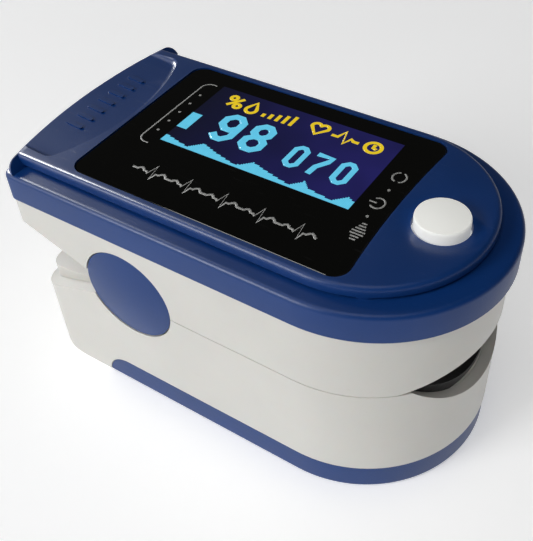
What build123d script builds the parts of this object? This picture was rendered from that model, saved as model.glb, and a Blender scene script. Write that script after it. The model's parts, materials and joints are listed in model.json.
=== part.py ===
from build123d import *

import os
from math import cos, radians, sin, sqrt, tan

# Fingertip pulse oximeter: two sprung jaws on a cross pin, with the display and its board in the
# upper jaw and two AAA cells in the lower one.
# Millimetres. +X runs from the thumb end to the finger mouth, -Y is the near side, +Z is up.
# The origin is the middle of the flat bottom.

# Overall sizes
LENGTH = 57.0
HALF_WIDTH = 15.5
FRONT = LENGTH / 2
REAR = -LENGTH / 2
NOSE_X = 12.2          # the straight sides end and the half-ellipse nose starts
REAR_BOW = 1.5         # how far the rear edge bows out
REAR_CORNER = 1.3
WALL = 1.3
FAR_AWAY = 60.0        # longer than anything that is cut

# Heights of the stack, from the table up
SHELL_BASE = 0.4       # white rear underside, just off the table
DOOR_PLATE = 1.2
DOOR_TOP = 3.9
BAY_TOP = 12.3
TRAY_TOP = 13.0
SPLIT = 17.2
FLOOR_BASE = 22.4
FLOOR_TOP = 23.4
COVER_BASE = 26.1
LEDGE_TOP = 29.7
DECK_TOP = 31.3

# Plan sizes of each layer: how far it reaches to the front, to the side and to the rear
RIM = (FRONT, HALF_WIDTH, REAR)
DECK = (25.9, 13.4, REAR - 5)
UPPER = (27.75, 15.4, REAR + 0.2)
LOWER = (27.7, 15.4, -27.2)
TAIL = (FRONT, 15.35, REAR + 0.1)
TAIL_X = -25.0         # rearward of this the deck spreads out over the ledge
TAIL_SLOPE = 1.2       # how far the end of the ledge leans back
TAIL_CORNER = 2.0
TAIL_BOW = 1.9
TAIL_ROUND = 1.5

# Jaw hinge
PIVOT_X = -10.6
PIVOT_Z = 17.9
PIN_R = 1.0
PIN_HOLE_R = 1.05
PIN_HALF = 15.0
EAR_R = 4.4
UPPER_EAR = (11.2, 12.55)
LOWER_EAR = (12.7, 14.1)
CAP_R = 6.1
CAP_POCKET_R = 6.25
CAP_INNER_Y = 14.15
CAP_DOME = 0.5
UPPER_WEDGE = 20.0     # degrees that the upper rear edge rises
LOWER_WEDGE = 18.7     # degrees that the lower rear edge falls
WEDGE_X = -11.1
PLATFORM_HALF = 13.8
CURTAIN_R = (5.3, 6.1)
CURTAIN_END = 203      # degrees round the pivot, from the front

# Torsion springs round the pin
SPRING_R = 2.2
SPRING_WIRE_R = 0.35
SPRING_START_Y = 4.4
SPRING_TURNS = 5
SPRING_PITCH = 0.9
LEG_ANGLE = 22.4
LEG_LENGTH = 10.2

# Window and display
WINDOW_REAR = -19.0
WINDOW_FRONT = 16.2
WINDOW_HALF = 12.3
WINDOW_CORNER = 1.8
WINDOW_HOLLOW = 0.7    # how far the front edge bows in
WINDOW_THICK = 0.8
WINDOW_POCKET = 0.9
SCREEN_CENTRE = (-0.9, 3.4)
SCREEN_SIZE = (24.8, 12.4)
PANEL_SIZE = (30.0, 17.0)
PANEL_THICK = 1.4
DECK_UNDERSIDE = 30.0

# Button and switch
BUTTON_X = 20.55
BUTTON_R = 2.9
BUTTON_HOLE_R = 3.1
BUTTON_TOP = 32.5
DISH_R = 4.9
DISH_DEPTH = 0.5
PLUNGER_TOP = 29.3

# Board
BOARD_BASE = 25.0
BOARD_THICK = 1.0
BOARD_TOP = BOARD_BASE + BOARD_THICK
BOARD_HALF = 9.8
BOARD_REAR = -19.5
BOARD_FRONT = 24.0

# Thumb scoop behind the window
SCOOP_FRONT = -19.5
SCOOP_HALF = 12.1
SCOOP_BOW = 2.8        # how far its front edge bows out
SCOOP_DEPTH = 0.8      # at the front edge
SCOOP_RISE = 4.6       # degrees that its floor rises towards the rear

# Mouth and finger channel
UPPER_MOUTH_TOP = 19.3
UPPER_MOUTH_R = 34.0
LOWER_MOUTH_BASE = 12.25
LOWER_MOUTH_R = 13.5
PAD_HALF = 13.9
PAD_REAR = -5.5
UPPER_PAD_TOP = 19.6
UPPER_PAD_R = 16.5
UPPER_PAD_EDGE = 17.6
LOWER_PAD_BASE = 13.6
LOWER_PAD_R = 14.6
LOWER_PAD_EDGE = 16.9
OPTIC_X = 8.0
RIBBON_Z = TRAY_TOP - 0.15

# AAA cells side by side
CELL_R = 5.25
CELL_LENGTH = 44.5
CELL_NUB = 0.8
CELL_Y = 5.4
CELL_Z = 6.85
CELL_REAR = -23.5
CELL_FRONT = CELL_REAR + CELL_LENGTH
BAY_REAR = -24.0
BAY_FRONT = 23.9
BAY_HALF = 10.75

# Battery door
DOOR_REAR_X = -13.4    # centre of the round at its rear end
SHELL_DOOR_R = 3.8
RAIL_Y = 11.9
RAIL_END = 12.0

# Cover screws
SCREW_PLACES = [(17.6, 10.2), (17.6, -10.2), (-21.0, 12.0), (-21.0, -12.0)]
SCREW_R = 0.8
SCREW_SEAT = 24.3
SCREW_TOP = 28.2
BOSS_R = 1.9
BOARD_SCREW_PLACES = [(15.0, 7.5), (15.0, -7.5), (-17.5, 7.5), (-17.5, -7.5)]


def outline(front, half_width, rear, corner=REAR_CORNER, bow=REAR_BOW):
    """Plan of a layer: bowed rear edge, straight sides and a half-ellipse nose."""
    rear_side = rear + bow
    near = Line((rear_side, -half_width), (NOSE_X, -half_width))
    nose = EllipticalCenterArc((NOSE_X, 0), front - NOSE_X, half_width, -90, arc_size=180)
    far = Line((NOSE_X, half_width), (rear_side, half_width))
    tail = ThreePointArc((rear_side, half_width), (rear, 0), (rear_side, -half_width))
    face = make_face([near, nose, far, tail])
    return fillet(face.vertices().sort_by(Axis.X)[:2], corner)


def slab(sketch, low, high):
    """A plan made solid between two heights."""
    return extrude(Pos(0, 0, low) * sketch, high - low, dir=(0, 0, 1))


def side(sketch, near, far):
    """A side view, drawn as X and Z, made solid from one Y to another."""
    middle = Pos(0, (near + far) / 2, 0)
    return extrude(middle * (Plane.XZ * sketch), (far - near) / 2, both=True)


def block(low, high):
    """A box from its lowest to its highest corner."""
    size = [b - a for a, b in zip(low, high)]
    centre = [(a + b) / 2 for a, b in zip(low, high)]
    return Pos(*centre) * Box(*size)


def rod(x, z, radius, near, far):
    """A cylinder across the width."""
    return Pos(x, (near + far) / 2, z) * Rot(90, 0, 0) * Cylinder(radius, far - near)


def post(x, y, radius, low, high):
    """An upright cylinder."""
    return Pos(x, y, (low + high) / 2) * Cylinder(radius, high - low)


def along(y, z, radius, rear, front):
    """A cylinder along the length."""
    return Pos((rear + front) / 2, y, z) * Rot(0, 90, 0) * Cylinder(radius, front - rear)


def both_sides(solid):
    """The solid and its mirror image across the middle plane."""
    return solid + mirror(solid, Plane.XZ)


def inset(layer, amount):
    """A layer's plan drawn in by a wall."""
    front, half_width, rear = layer
    return outline(front - amount, half_width - amount, rear + amount, REAR_CORNER - amount / 2)


def wedge_height(x, degrees):
    """Height of a rear edge that leaves the split line at WEDGE_X, rising with the angle."""
    return SPLIT + (WEDGE_X - x) * tan(radians(degrees))


# ---------------------------------------------------------------- upper jaw


def raised_deck():
    """Deck inside the ledge, and a rounded tail that spreads out over the ledge at the rear."""
    deck = slab(outline(*DECK), LEDGE_TOP - 0.02, DECK_TOP)
    deck = fillet(deck.faces().sort_by(Axis.Z)[-1].edges(), 0.6)
    deck = chamfer(deck.faces().sort_by(Axis.Z)[0].edges(), 0.35)

    whole = slab(outline(*TAIL, TAIL_CORNER, TAIL_BOW), LEDGE_TOP - 0.3, DECK_TOP)
    whole = fillet(whole.faces().sort_by(Axis.Z)[-1].edges(), TAIL_ROUND)
    whole = chamfer(whole.faces().sort_by(Axis.Z)[0].edges(), 0.35)
    ledge_end = Polygon(
        (TAIL_X, LEDGE_TOP - 0.4), (TAIL_X - TAIL_SLOPE, DECK_TOP + 0.1), (-40, DECK_TOP + 0.1),
        (-40, LEDGE_TOP - 0.4), align=None,
    )
    return (whole & deck) + (whole & side(ledge_end, -20, 20))


def window_plan(gap=0.0):
    """Window outline, with its front edge bowed in round the button."""
    rear, front = WINDOW_REAR - gap, WINDOW_FRONT + gap
    half = WINDOW_HALF + gap
    edges = [
        Line((rear, -half), (front, -half)),
        ThreePointArc((front, -half), (front - WINDOW_HOLLOW, 0), (front, half)),
        Line((front, half), (rear, half)),
        Line((rear, half), (rear, -half)),
    ]
    face = make_face(edges)
    return fillet(face.vertices(), WINDOW_CORNER + gap)


def screen_opening(margin, low, high):
    """Box round the screen's lit area."""
    x, y = SCREEN_CENTRE
    width, depth = SCREEN_SIZE
    plan = Pos(x, y) * Rectangle(width + 2 * margin, depth + 2 * margin)
    return slab(plan, low, high)


def scoop_frame():
    """Where the scoop's tilted floor lies: its own Z is zero on the floor."""
    turn = Pos(SCOOP_FRONT, 0, 0) * Rot(0, SCOOP_RISE, 0) * Pos(-SCOOP_FRONT, 0, 0)
    return Pos(0, 0, DECK_TOP - SCOOP_DEPTH) * turn


def scoop_hollow():
    """Thumb scoop, deepest behind its bowed front edge and almost level with the deck at the rear."""
    corner_x = SCOOP_FRONT - SCOOP_BOW
    half = SCOOP_HALF
    edges = [
        ThreePointArc((corner_x, -half), (SCOOP_FRONT, 0), (corner_x, half)),
        Polyline((corner_x, half), (REAR - 4, half), (REAR - 4, -half), (corner_x, -half)),
    ]
    plan = make_face(edges)
    plan = fillet(plan.vertices().sort_by(Axis.X)[-2:], 1.6)
    hollow = slab(plan, 0, 3)
    return scoop_frame() * fillet(hollow.faces().sort_by(Axis.Z)[0].edges(), 0.9)


def grip_ribs():
    """Low bars on the scoop floor that stop a thumb from slipping."""
    ribs = [slab(Pos(-24.6, -5.4 + 1.9 * i) * SlotOverall(2.4, 0.5), -0.3, 0.18) for i in range(7)]
    return scoop_frame() * (Part() + ribs)


def top_cover():
    """Blue cover: a rim with a flat ledge, a raised deck, the window pocket and the button hole."""
    rim = slab(outline(*RIM), COVER_BASE, LEDGE_TOP)
    rim = fillet(rim.faces().sort_by(Axis.Z)[-1].edges(), 0.6)
    cover = rim + raised_deck() - scoop_hollow() + grip_ribs()

    rim_room = slab(inset(RIM, WALL), COVER_BASE - 1, LEDGE_TOP - 1.3)
    deck_room = slab(inset((DECK[0], DECK[1], WINDOW_REAR - 1), WALL), LEDGE_TOP - 2, DECK_UNDERSIDE)
    cover = cover - rim_room - deck_room
    cover = cover - slab(window_plan(0.08), DECK_TOP - WINDOW_POCKET, DECK_TOP + 2)
    cover = cover - screen_opening(0.5, DECK_UNDERSIDE - 1, DECK_TOP)

    dish_ball_r = (DISH_R**2 + DISH_DEPTH**2) / (2 * DISH_DEPTH)
    dish = Pos(BUTTON_X, 0, DECK_TOP - DISH_DEPTH + dish_ball_r) * Sphere(dish_ball_r)
    cover = cover - dish - post(BUTTON_X, 0, BUTTON_HOLE_R, DECK_UNDERSIDE - 1, DECK_TOP + 1)

    for x, y in SCREW_PLACES:
        top = DECK_UNDERSIDE + 0.1 if x > 0 else LEDGE_TOP - 0.7
        cover = cover + post(x, y, BOSS_R, COVER_BASE, top)
        cover = cover - post(x, y, SCREW_R + 0.02, COVER_BASE - 1, SCREW_TOP + 0.2)
    return cover


def display_window():
    """Flush black lens over the screen, with a fine polished edge."""
    base = DECK_TOP - WINDOW_POCKET
    lens = slab(window_plan(), base, base + WINDOW_THICK)
    return chamfer(lens.faces().sort_by(Axis.Z)[-1].edges(), 0.12)


def display_panel():
    """Screen glass: a carrier sheet and the thinner cover sheet over the lit area."""
    x, y = SCREEN_CENTRE
    carrier = slab(Pos(x - 0.6, y) * Rectangle(*PANEL_SIZE), DECK_UNDERSIDE - PANEL_THICK, DECK_UNDERSIDE - 0.7)
    sheet = slab(Pos(x, y) * Rectangle(27.6, 16.0), DECK_UNDERSIDE - 0.7, DECK_UNDERSIDE)
    return carrier + sheet


def display_frame():
    """Spacer frame that holds the screen off the board."""
    x, y = SCREEN_CENTRE
    top = DECK_UNDERSIDE - PANEL_THICK
    outer = Pos(x - 0.6, y) * Rectangle(*PANEL_SIZE)
    inner = Pos(x - 0.6, y) * Rectangle(PANEL_SIZE[0] - 2.4, PANEL_SIZE[1] - 2.4)
    frame = slab(outer - inner, BOARD_TOP, top)
    bar = slab(Pos(x - 0.6, y) * Rectangle(1.0, PANEL_SIZE[1] - 2.4), top - 1.0, top)
    notch = block((x - 17, y - 5.2, BOARD_TOP), (x - 14.2, y + 5.2, BOARD_TOP + 0.8))
    board_edge = block((-20, BOARD_HALF, BOARD_TOP - 1), (20, 14, BOARD_TOP + 0.4))
    return frame + bar - notch - board_edge


def display_ribbon():
    """Short ribbon that folds from the screen's rear edge down to the board."""
    x = SCREEN_CENTRE[0] - 0.67 - PANEL_SIZE[0] / 2
    top = DECK_UNDERSIDE - 1.1
    bend_z = (top + BOARD_TOP + 0.1) / 2
    bend_r = (top - BOARD_TOP - 0.1) / 2
    line = [
        Line((x, top), (x - 0.5, top)),
        ThreePointArc((x - 0.5, top), (x - 0.5 - bend_r, bend_z), (x - 0.5, bend_z - bend_r)),
        Line((x - 0.5, bend_z - bend_r), (x + 3.5, bend_z - bend_r)),
    ]
    band = make_face(offset(Curve() + line, 0.06).edges())
    return side(band, -1.6, 5.6)


def main_board():
    """Circuit board, rounded to follow the nose, with its fixing holes."""
    plan = Pos((BOARD_REAR + BOARD_FRONT) / 2, 0) * Rectangle(BOARD_FRONT - BOARD_REAR, 2 * BOARD_HALF)
    plan = plan & inset(UPPER, WALL + 0.4)
    board = slab(plan, BOARD_BASE, BOARD_TOP)
    for x, y in BOARD_SCREW_PLACES:
        board = board - post(x, y, 0.75, BOARD_BASE - 1, BOARD_TOP + 1)
    for x, y in SCREW_PLACES:
        board = board - post(x, y, BOSS_R + 0.3, BOARD_BASE - 1, BOARD_TOP + 1)
    return board


def processor_chip():
    """Square flat pack with leads on four sides."""
    chip = block((-10.5, 0.0, BOARD_TOP + 0.1), (-3.5, 7.0, BOARD_TOP + 1.3))
    chip = chamfer(chip.faces().sort_by(Axis.Z)[-1].edges(), 0.15)
    for i in range(11):
        step = -2.5 + 0.5 * i
        chip = chip + block((-11.2, 3.5 + step - 0.1, BOARD_TOP), (-2.8, 3.5 + step + 0.1, BOARD_TOP + 0.25))
        chip = chip + block((-7 + step - 0.1, -0.7, BOARD_TOP), (-7 + step + 0.1, 7.7, BOARD_TOP + 0.25))
    return chip


def signal_chip():
    """Small amplifier chip with leads on two sides, under the board."""
    top = BOARD_BASE
    chip = block((1.0, -6.0, top - 1.3), (6.0, -2.0, top - 0.1))
    for i in range(4):
        x = 1.6 + 1.27 * i
        chip = chip + block((x - 0.2, -7.0, top - 0.3), (x + 0.2, -1.0, top))
    return chip


def clock_crystal():
    """Metal can of the clock crystal."""
    can = slab(Pos(0.5, 1.8) * SlotOverall(4.6, 2.2), BOARD_TOP, BOARD_TOP + 1.4)
    return fillet(can.faces().sort_by(Axis.Z)[-1].edges(), 0.25)


def board_components():
    """Capacitors and resistors on the board's upper side."""
    places = [(4.0, 5.0), (4.0, 7.0), (6.5, 5.0), (6.5, 7.0), (9.0, 1.5), (9.0, 3.5), (6.5, -0.5), (4.0, -0.5)]
    parts = [block((x - 0.8, y - 0.4, BOARD_TOP), (x + 0.8, y + 0.4, BOARD_TOP + 0.6)) for x, y in places]
    return Part() + parts


def ribbon_socket():
    """Socket under the board that takes the sensor ribbon."""
    socket = block((-9.5, -3.2, BOARD_BASE - 1.1), (-5.9, 3.2, BOARD_BASE))
    return socket - block((-7.9, -2.6, BOARD_BASE - 1.2), (-7.5, 2.6, BOARD_BASE - 0.3))


def board_screws():
    """Screws that hold the board to the upper shell's posts."""
    screws = Part()
    for x, y in BOARD_SCREW_PLACES:
        head = post(x, y, 1.1, BOARD_TOP, BOARD_TOP + 0.7)
        slot = block((x - 0.8, y - 0.12, BOARD_TOP + 0.4), (x + 0.8, y + 0.12, BOARD_TOP + 1))
        cross = block((x - 0.12, y - 0.8, BOARD_TOP + 0.4), (x + 0.12, y + 0.8, BOARD_TOP + 1))
        screws = screws + (head + post(x, y, 0.6, FLOOR_TOP + 0.1, BOARD_TOP) - slot - cross)
    return screws


def switch_body():
    """Square push switch on the board under the button."""
    low, high = BUTTON_X - 2.4, BUTTON_X + 2.4
    body = block((low, -2.4, BOARD_TOP), (high, 2.4, BOARD_TOP + 2.4))
    body = body - post(BUTTON_X, 0, 1.6, BOARD_TOP + 1.2, BOARD_TOP + 3)
    for y in (-1.7, 1.7):
        body = body + block((low - 0.6, y - 0.35, BOARD_TOP), (high + 0.6, y + 0.35, BOARD_TOP + 0.2))
    return body


def switch_plunger():
    """Plunger of the push switch."""
    return post(BUTTON_X, 0, 1.5, BOARD_TOP + 1.8, PLUNGER_TOP)


def domed(radius, low, high, dome, edge_r):
    """Upright disc with a shallow domed top and a rounded edge."""
    disc = post(0, 0, radius, low, high)
    disc = fillet(disc.faces().sort_by(Axis.Z)[-1].edges(), edge_r)
    ball_r = (radius**2 + dome**2) / (2 * dome)
    return disc & (Pos(0, 0, high - ball_r) * Sphere(ball_r))


def button_cap():
    """White domed button, held under the deck by its flange."""
    cap = domed(BUTTON_R, PLUNGER_TOP, BUTTON_TOP, 0.3, 0.6)
    flange = post(0, 0, BUTTON_R + 0.8, PLUNGER_TOP, DECK_UNDERSIDE - 0.05)
    return Pos(BUTTON_X, 0, 0) * (cap + flange)


def curtain():
    """Curved skirt round the pivot that keeps the springs out of sight, slotted for their legs."""
    ring = Circle(CURTAIN_R[1]) - Circle(CURTAIN_R[0])
    start, end = radians(158), radians(CURTAIN_END)
    sector = Polygon(
        (0, 0), (9 * cos(start), 9 * sin(start)), (-9, 0), (9 * cos(end), 9 * sin(end)), align=None
    )
    skirt = side(Pos(PIVOT_X, PIVOT_Z) * (ring & sector), -12.4, 12.4)
    for y in (SPRING_START_Y, SPRING_START_Y + SPRING_TURNS * SPRING_PITCH):
        slot = block((PIVOT_X - 7, y - 0.6, PIVOT_Z - 3), (PIVOT_X - 5, y + 0.6, PIVOT_Z + 0.9))
        skirt = skirt - both_sides(slot)
    return skirt


def upper_shell():
    """White upper jaw: side walls, mouth arch, hinge ears and the floor under the board."""
    shell = slab(outline(*UPPER), SPLIT + 0.05, COVER_BASE)
    wall_x = PIVOT_X - EAR_R - 0.2
    plate_top = wedge_height(wall_x - 1, UPPER_WEDGE) + 1.25
    board_room = Polygon(
        (30, 40), (30, FLOOR_TOP), (wall_x - 1, FLOOR_TOP), (wall_x - 1, plate_top),
        (-30, wedge_height(-30, UPPER_WEDGE) + 1.25), (-30, 40), align=None,
    )
    finger_room = Polygon((30, 0), (30, FLOOR_BASE), (wall_x, FLOOR_BASE), (wall_x, 0), align=None)
    inside = slab(inset(UPPER, WALL), 0, 40)
    shell = shell - (inside & side(board_room, -20, 20))
    shell = shell - (inside & side(finger_room, -20, 20))
    shell = shell - along(0, UPPER_MOUTH_TOP - UPPER_MOUTH_R, UPPER_MOUTH_R, 18, 30)

    ear = rod(PIVOT_X, PIVOT_Z, EAR_R, *UPPER_EAR)
    ear = ear + block(
        (PIVOT_X - EAR_R + 0.2, UPPER_EAR[0], PIVOT_Z), (PIVOT_X + EAR_R - 0.2, UPPER_EAR[1], FLOOR_BASE + 0.2)
    )
    shell = shell + both_sides(ear)
    for x, y in SCREW_PLACES:
        low = FLOOR_BASE if x > 0 else wedge_height(x + BOSS_R, UPPER_WEDGE)
        shell = shell + post(x, y, BOSS_R, low, COVER_BASE)
        shell = shell - post(x, y, 1.6, low - 3, SCREW_SEAT)
        shell = shell - post(x, y, SCREW_R + 0.1, SCREW_SEAT - 1, COVER_BASE + 1)
    for x, y in BOARD_SCREW_PLACES:
        low = FLOOR_TOP - 0.2 if x > 0 else wedge_height(x, UPPER_WEDGE)
        shell = shell + post(x, y, 1.5, low, BOARD_BASE)
        shell = shell - post(x, y, 0.62, FLOOR_TOP, BOARD_BASE + 1)
    rear = -FAR_AWAY
    wedge = Polygon(
        (WEDGE_X, SPLIT), (rear, wedge_height(rear, UPPER_WEDGE)), (rear, 0), (WEDGE_X, 0), align=None
    )
    shell = shell - side(wedge, -20, 20) + curtain()

    lip = slab(inset(UPPER, WALL - 0.55) - inset(UPPER, WALL), COVER_BASE - 1, COVER_BASE)
    shell = shell + lip
    shell = shell - both_sides(rod(PIVOT_X, PIVOT_Z, CAP_POCKET_R, LOWER_EAR[1] - 0.05, 17))
    shell = shell - rod(PIVOT_X, PIVOT_Z, PIN_HOLE_R, -20, 20)
    shell = shell - block((-8.6, -2.9, FLOOR_BASE - 1), (-4.6, 2.9, FLOOR_TOP + 1))
    return shell


def upper_finger_pad():
    """Soft dark pad in the upper jaw, arched over the nail, with the emitter's hole."""
    plan = outline(26.4, PAD_HALF, PAD_REAR, 1.0, 0.1)
    pad = slab(plan, UPPER_PAD_EDGE, FLOOR_BASE)
    pad = pad - along(0, UPPER_PAD_TOP - UPPER_PAD_R, UPPER_PAD_R, PAD_REAR + 1.5, 30)
    pad = pad - post(OPTIC_X, 0, 2.6, 18, 23)
    return pad - block((OPTIC_X - 4.2, -3.2, UPPER_PAD_TOP + 0.8), (OPTIC_X + 4.2, 3.2, 23))


def emitter_board():
    """Small board that carries the emitter."""
    return block((OPTIC_X - 4, -3, FLOOR_BASE - 0.6), (OPTIC_X + 4, 3, FLOOR_BASE))


def emitter_led():
    """Red and infrared emitter in a clear package."""
    body = block((OPTIC_X - 1.6, -1.6, FLOOR_BASE - 1.6), (OPTIC_X + 1.6, 1.6, FLOOR_BASE - 0.6))
    dome = Pos(OPTIC_X, 0, FLOOR_BASE - 1.6) * Sphere(0.9)
    return body + dome


def emitter_window():
    """Clear disc that seals the emitter's hole in the pad."""
    return post(OPTIC_X, 0, 2.5, UPPER_PAD_TOP - 0.3, UPPER_PAD_TOP + 0.15)


def cover_screws():
    """Screws that draw the top cover down on to the upper shell."""
    screws = Part()
    for x, y in SCREW_PLACES:
        head = post(x, y, 1.45, SCREW_SEAT - 1, SCREW_SEAT)
        slot = block((x - 1, y - 0.15, SCREW_SEAT - 1.2), (x + 1, y + 0.15, SCREW_SEAT - 0.5))
        cross = block((x - 0.15, y - 1, SCREW_SEAT - 1.2), (x + 0.15, y + 1, SCREW_SEAT - 0.5))
        screws = screws + (head + post(x, y, SCREW_R, SCREW_SEAT, SCREW_TOP) - slot - cross)
    return screws


# ---------------------------------------------------------------- lower jaw


def door_arc(radius, low):
    """Points of the round at the door's rear end: at a height, halfway and at its top."""
    centre_z = DOOR_TOP - SHELL_DOOR_R
    start = (DOOR_REAR_X - sqrt(radius**2 - (centre_z - low) ** 2), low)
    middle = (DOOR_REAR_X - radius * cos(radians(45)), centre_z + radius * sin(radians(45)))
    return start, middle, (DOOR_REAR_X, centre_z + radius)


def lower_side_view():
    """Side view of the lower shell: round heel, flat sides and a rear edge that falls away."""
    heel_r = 5.5
    heel = (LOWER[2] + heel_r, SHELL_BASE + heel_r)
    heel_mid = (heel[0] - heel_r * cos(radians(45)), heel[1] - heel_r * sin(radians(45)))
    door_start, door_round, door_end = door_arc(SHELL_DOOR_R, SHELL_BASE)
    rear_top = wedge_height(LOWER[2], -LOWER_WEDGE)
    edges = [
        Line((30, DOOR_TOP), door_end),
        ThreePointArc(door_end, door_round, door_start),
        Line(door_start, (heel[0], SHELL_BASE)),
        ThreePointArc((heel[0], SHELL_BASE), heel_mid, (LOWER[2], heel[1])),
        Line((LOWER[2], heel[1]), (LOWER[2], rear_top)),
        Line((LOWER[2], rear_top), (WEDGE_X, SPLIT - 0.05)),
        Line((WEDGE_X, SPLIT - 0.05), (30, SPLIT - 0.05)),
        Line((30, SPLIT - 0.05), (30, DOOR_TOP)),
    ]
    return make_face(edges)


def thumb_platform():
    """Raised inner part at the rear that closes the gap between the jaws."""
    view = Polygon((-17.2, 12), (-17.2, 15.8), (-26.9, 14.3), (-26.9, 10), align=None)
    plan = outline(20, PLATFORM_HALF, LOWER[2] + 0.5, 2.2, 1.0)
    return slab(plan, 9, 20) & side(view, -20, 20)


def lower_shell():
    """White lower jaw: battery bay below, finger trough above and the outer hinge ears."""
    shell = slab(outline(*LOWER, 3.2, 1.0), 0, 20) & side(lower_side_view(), -20, 20)
    shell = shell + thumb_platform()
    inside = slab(inset(LOWER, WALL), -5, 40)

    bay = block((-16.9, -BAY_HALF, -1), (BAY_FRONT, BAY_HALF, BAY_TOP))
    bay = bay + block((BAY_REAR, -BAY_HALF, 1.45), (-16, BAY_HALF, BAY_TOP))
    bay = bay + block((BAY_REAR, -BAY_HALF, 9), (-17.6, BAY_HALF, BAY_TOP + 0.9))
    shell = shell - (inside & bay)
    shell = shell - both_sides(block((-RAIL_END, RAIL_Y, 0), (RAIL_END, 14.1, BAY_TOP - 1)))
    trough = block((PAD_REAR - 0.1, -20, TRAY_TOP), (30, 20, 40))
    hinge_room = block((-17.0, -20, TRAY_TOP), (PAD_REAR, 20, 40))
    shell = shell - (inside & (trough + hinge_room))
    under_pad = inside & block((0, -20, 0), (30, 20, TRAY_TOP))
    mouth = along(0, LOWER_MOUTH_BASE + LOWER_MOUTH_R, LOWER_MOUTH_R, 20, 30)
    shell = shell - (mouth - under_pad)

    ear = rod(PIVOT_X, PIVOT_Z, EAR_R, *LOWER_EAR)
    ear = ear + block((PIVOT_X - EAR_R, LOWER_EAR[0], BAY_TOP), (PIVOT_X + EAR_R, LOWER_EAR[1] + 0.4, PIVOT_Z))
    rail = block((-RAIL_END, BAY_HALF, 1.5), (RAIL_END, RAIL_Y, BAY_TOP))
    rail = rail + block((-RAIL_END, BAY_HALF, 1.5), (RAIL_END, RAIL_Y + 0.8, 2.3))
    nest = block((OPTIC_X - 5, -2.4, 11.3), (OPTIC_X + 5, 2.4, BAY_TOP + 0.1))
    contact_rib = inside & block((CELL_FRONT + 0.6, 2.0, DOOR_TOP + 0.1), (BAY_FRONT + 1, 9.0, BAY_TOP))
    shell = shell + both_sides(ear + rail) + nest + contact_rib
    shell = shell - block((OPTIC_X - 4.6, -1.9, 11.6), (OPTIC_X + 4.6, 1.9, 14))
    shell = shell - block((-8.3, -2.1, RIBBON_Z - 0.1), (OPTIC_X - 4, 2.1, 14))
    shell = shell - both_sides(rod(PIVOT_X, PIVOT_Z, CAP_POCKET_R, LOWER_EAR[1], 17))
    return shell - rod(PIVOT_X, PIVOT_Z, PIN_HOLE_R, -20, 20)


def lower_finger_pad():
    """Soft dark trough that the fingertip lies in, with the sensor's hole."""
    plan = outline(26.35, PAD_HALF, PAD_REAR, 1.0, 0.1)
    pad = slab(plan, TRAY_TOP, LOWER_PAD_EDGE)
    pad = pad - along(0, LOWER_PAD_BASE + LOWER_PAD_R, LOWER_PAD_R, PAD_REAR + 1.5, 30)
    return pad - post(OPTIC_X, 0, 1.8, TRAY_TOP - 1, LOWER_PAD_BASE + 1)


def sensor_board():
    """Small board that carries the light sensor."""
    return block((OPTIC_X - 4.4, -1.8, 11.6), (OPTIC_X + 4.4, 1.8, 12.1))


def photodiode():
    """Light sensor chip in its square package."""
    return block((OPTIC_X - 1.5, -1.5, 12.1), (OPTIC_X + 1.5, 1.5, 12.95))


def sensor_window():
    """Clear disc over the light sensor."""
    return post(OPTIC_X, 0, 1.7, TRAY_TOP, LOWER_PAD_BASE + 0.05)


def sensor_ribbon():
    """Ribbon that joins the sensor to the main board, up past the front of the pin."""
    line = FilletPolyline(
        (OPTIC_X - 1.7, 12.16), (OPTIC_X - 2.8, 12.16), (OPTIC_X - 3.8, RIBBON_Z), (PAD_REAR - 0.5, RIBBON_Z),
        (-7.7, RIBBON_Z + 1.6), (-7.7, BOARD_BASE - 0.35), radius=0.4,
    )
    band = make_face(offset(line, 0.06).edges())
    return side(band, -1.7, 1.7)


def cell(y, facing):
    """AAA cell, its raised end pointing forwards (+1) or rearwards (-1)."""
    body_length = CELL_LENGTH - CELL_NUB
    body = Cylinder(CELL_R, body_length)
    body = fillet(body.edges(), 0.5)
    nub = Pos(0, 0, body_length / 2 + CELL_NUB / 2) * Cylinder(1.8, CELL_NUB)
    battery = body + nub
    middle = (CELL_REAR + CELL_FRONT) / 2 - facing * CELL_NUB / 2
    return Pos(middle, y, CELL_Z) * Rot(0, 90 * facing, 0) * battery


def bridge_contact():
    """Plate at the rear of the bay that joins the two cells in series."""
    plate = block((BAY_REAR, -9.4, 3.2), (BAY_REAR + 0.25, 9.4, 10.5))
    for y in (-CELL_Y, CELL_Y):
        plate = plate + along(y, CELL_Z, 1.5, BAY_REAR, CELL_REAR - 0.01)
    return plate


def positive_contact():
    """Flat contact for the far cell's raised end."""
    plate = block((CELL_FRONT + 0.3, 2.4, 3.2), (CELL_FRONT + 0.6, 8.4, 10.5))
    return plate + along(CELL_Y, CELL_Z, 1.4, CELL_FRONT + 0.01, CELL_FRONT + 0.4)


def negative_contact():
    """Conical coil spring and its plate for the near cell's flat end."""
    front = BAY_FRONT - 0.35
    plate = block((front, -7.4, 4.4), (front + 0.25, -3.0, 9.6))
    spring = Part()
    for i in range(3):
        radius = 1.5 + 0.25 * i
        x = CELL_FRONT + 0.4 + i * 0.8
        spring = spring + Pos(x, -CELL_Y, CELL_Z) * Rot(0, 90, 0) * Torus(radius, 0.25)
        spring = spring + along(-CELL_Y + radius, CELL_Z, 0.22, x, min(x + 0.85, front + 0.1))
    return plate + spring


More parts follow.
